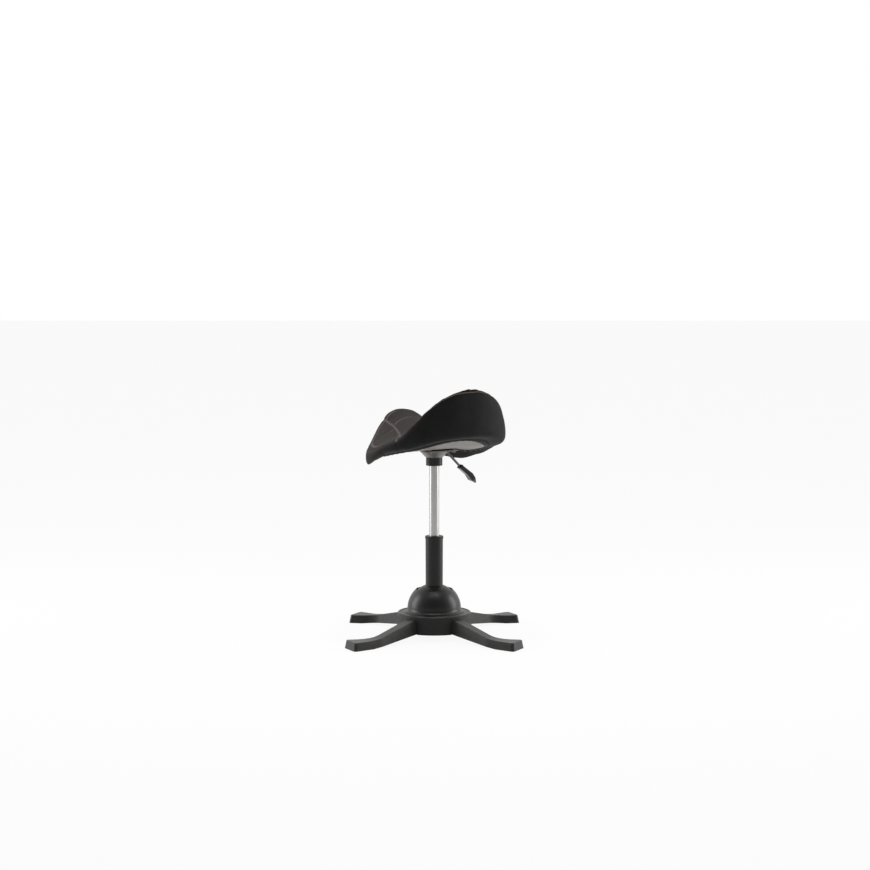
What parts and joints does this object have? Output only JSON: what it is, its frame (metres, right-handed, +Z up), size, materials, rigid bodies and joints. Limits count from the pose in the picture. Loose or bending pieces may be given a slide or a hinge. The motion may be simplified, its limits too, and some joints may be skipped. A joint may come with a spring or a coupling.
{
  "type": "balance saddle stool",
  "caption": "Saddle stool on a low cross-legged base: the gas-lift column tilts on a ball-shaped joint, the padded saddle seat swivels and rises, and a side lever releases its height.",
  "frame": {"origin": "on the floor under the column's axis, in the middle of the four feet", "axes": "+Z up along the upright column; +X and +Y lie between the legs, whose arms leave the hub 39 degrees from the Y axis; the saddle's front points 31.5 degrees from +Y towards -X"},
  "size_m": [0.4946, 0.5228, 0.7177],
  "materials": {
    "base_plastic": "fine moulded texture, satin",
    "leg_plastic": "fine moulded texture",
    "dome_plastic": "satin",
    "cap_plastic": "satin",
    "tube_paint": "satin black powder coat",
    "cylinder_chrome": "polished",
    "collar_plastic": "satin",
    "cone_metal": "grey satin",
    "plate_paint": "grey satin",
    "pan_plastic": "bare moulded grey",
    "seat_fabric": "woven mesh over foam",
    "lever_steel": "black",
    "handle_plastic": "gloss",
    "rubber": "matt",
    "guide_plastic": "satin",
    "joint_iron": "machined",
    "bearing_bronze": "turned",
    "bearing_steel": "ground",
    "fastener_steel": "zinc plated"
  },
  "bodies": {
    "base": {"base_hub": "base_plastic", "leg_rear_right": "leg_plastic", "leg_rear_left": "leg_plastic", "leg_front_left": "leg_plastic", "leg_front_right": "leg_plastic", "leg_bolts": "fastener_steel", "foot_pads": "rubber", "bottom_cover": "base_plastic", "bottom_cover_screws": "fastener_steel", "dome_cover": "dome_plastic", "dome_screws": "fastener_steel", "base_pivot_bushes": "bearing_bronze", "tilt_buffer": "rubber"},
    "gimbal": {"gimbal_ring": "joint_iron", "gimbal_outer_pins": "bearing_steel", "gimbal_inner_pins": "bearing_steel"},
    "column": {"column_socket": "joint_iron", "column_pivot_bushes": "bearing_bronze", "ball_cap": "cap_plastic", "column_tube": "tube_paint", "tube_end_plate": "fastener_steel", "guide_bush": "guide_plastic", "lower_thrust_washer": "bearing_steel"},
    "rod": {"piston_rod": "bearing_steel", "rod_clip": "fastener_steel", "thrust_balls": "bearing_steel", "upper_thrust_washer": "bearing_steel", "bumper": "rubber", "piston": "guide_plastic"},
    "seat": {"gas_cylinder": "cylinder_chrome", "cylinder_end_guide": "guide_plastic", "collar": "collar_plastic", "seat_cone": "cone_metal", "seat_plate": "plate_paint", "plate_bolts": "fastener_steel", "insert_nuts": "fastener_steel", "seat_pan": "pan_plastic", "seat_cushion": "seat_fabric", "lever_bracket": "plate_paint", "lever_pin": "bearing_steel"},
    "lever": {"lever_rod": "lever_steel", "lever_handle": "handle_plastic", "lever_end_cap": "handle_plastic"},
    "button": {"valve_button": "bearing_steel"}
  },
  "joints": [
    {"name": "tilt_sideways", "type": "hinge", "parent": "base", "child": "gimbal", "pos_m": [0, 0, 0.078], "axis": [1, 0, 0], "range_deg": [-10, 10], "stiffness_Nm_per_rad": 220},
    {"name": "tilt_forward", "type": "hinge", "parent": "gimbal", "child": "column", "pos_m": [0, 0, 0.078], "axis": [0, 1, 0], "range_deg": [-10, 10], "stiffness_Nm_per_rad": 220},
    {"name": "swivel", "type": "hinge", "parent": "column", "child": "rod", "pos_m": [0, 0, 0.042], "axis": [0, 0, 1], "continuous": true},
    {"name": "gas_lift", "type": "slide", "parent": "rod", "child": "seat", "axis": [0, 0, 1], "range_m": [-0.165, 0], "stiffness_N_per_m": 250, "springref_m": 1.2},
    {"name": "lever_lift", "type": "hinge", "parent": "seat", "child": "lever", "pos_m": [0.03325, 0.02038, 0.525], "axis": [0.5225, -0.8526, 0], "range_deg": [0, 5], "stiffness_Nm_per_rad": 2, "springref_deg": -34.38},
    {"name": "valve_press", "type": "slide", "parent": "seat", "child": "button", "axis": [0, 0, -1], "range_m": [0, 0.004]}
  ],
  "couplings": [
    {"joint": "valve_press", "follows": "lever_lift", "m_per_rad": 0.039}
  ]
}
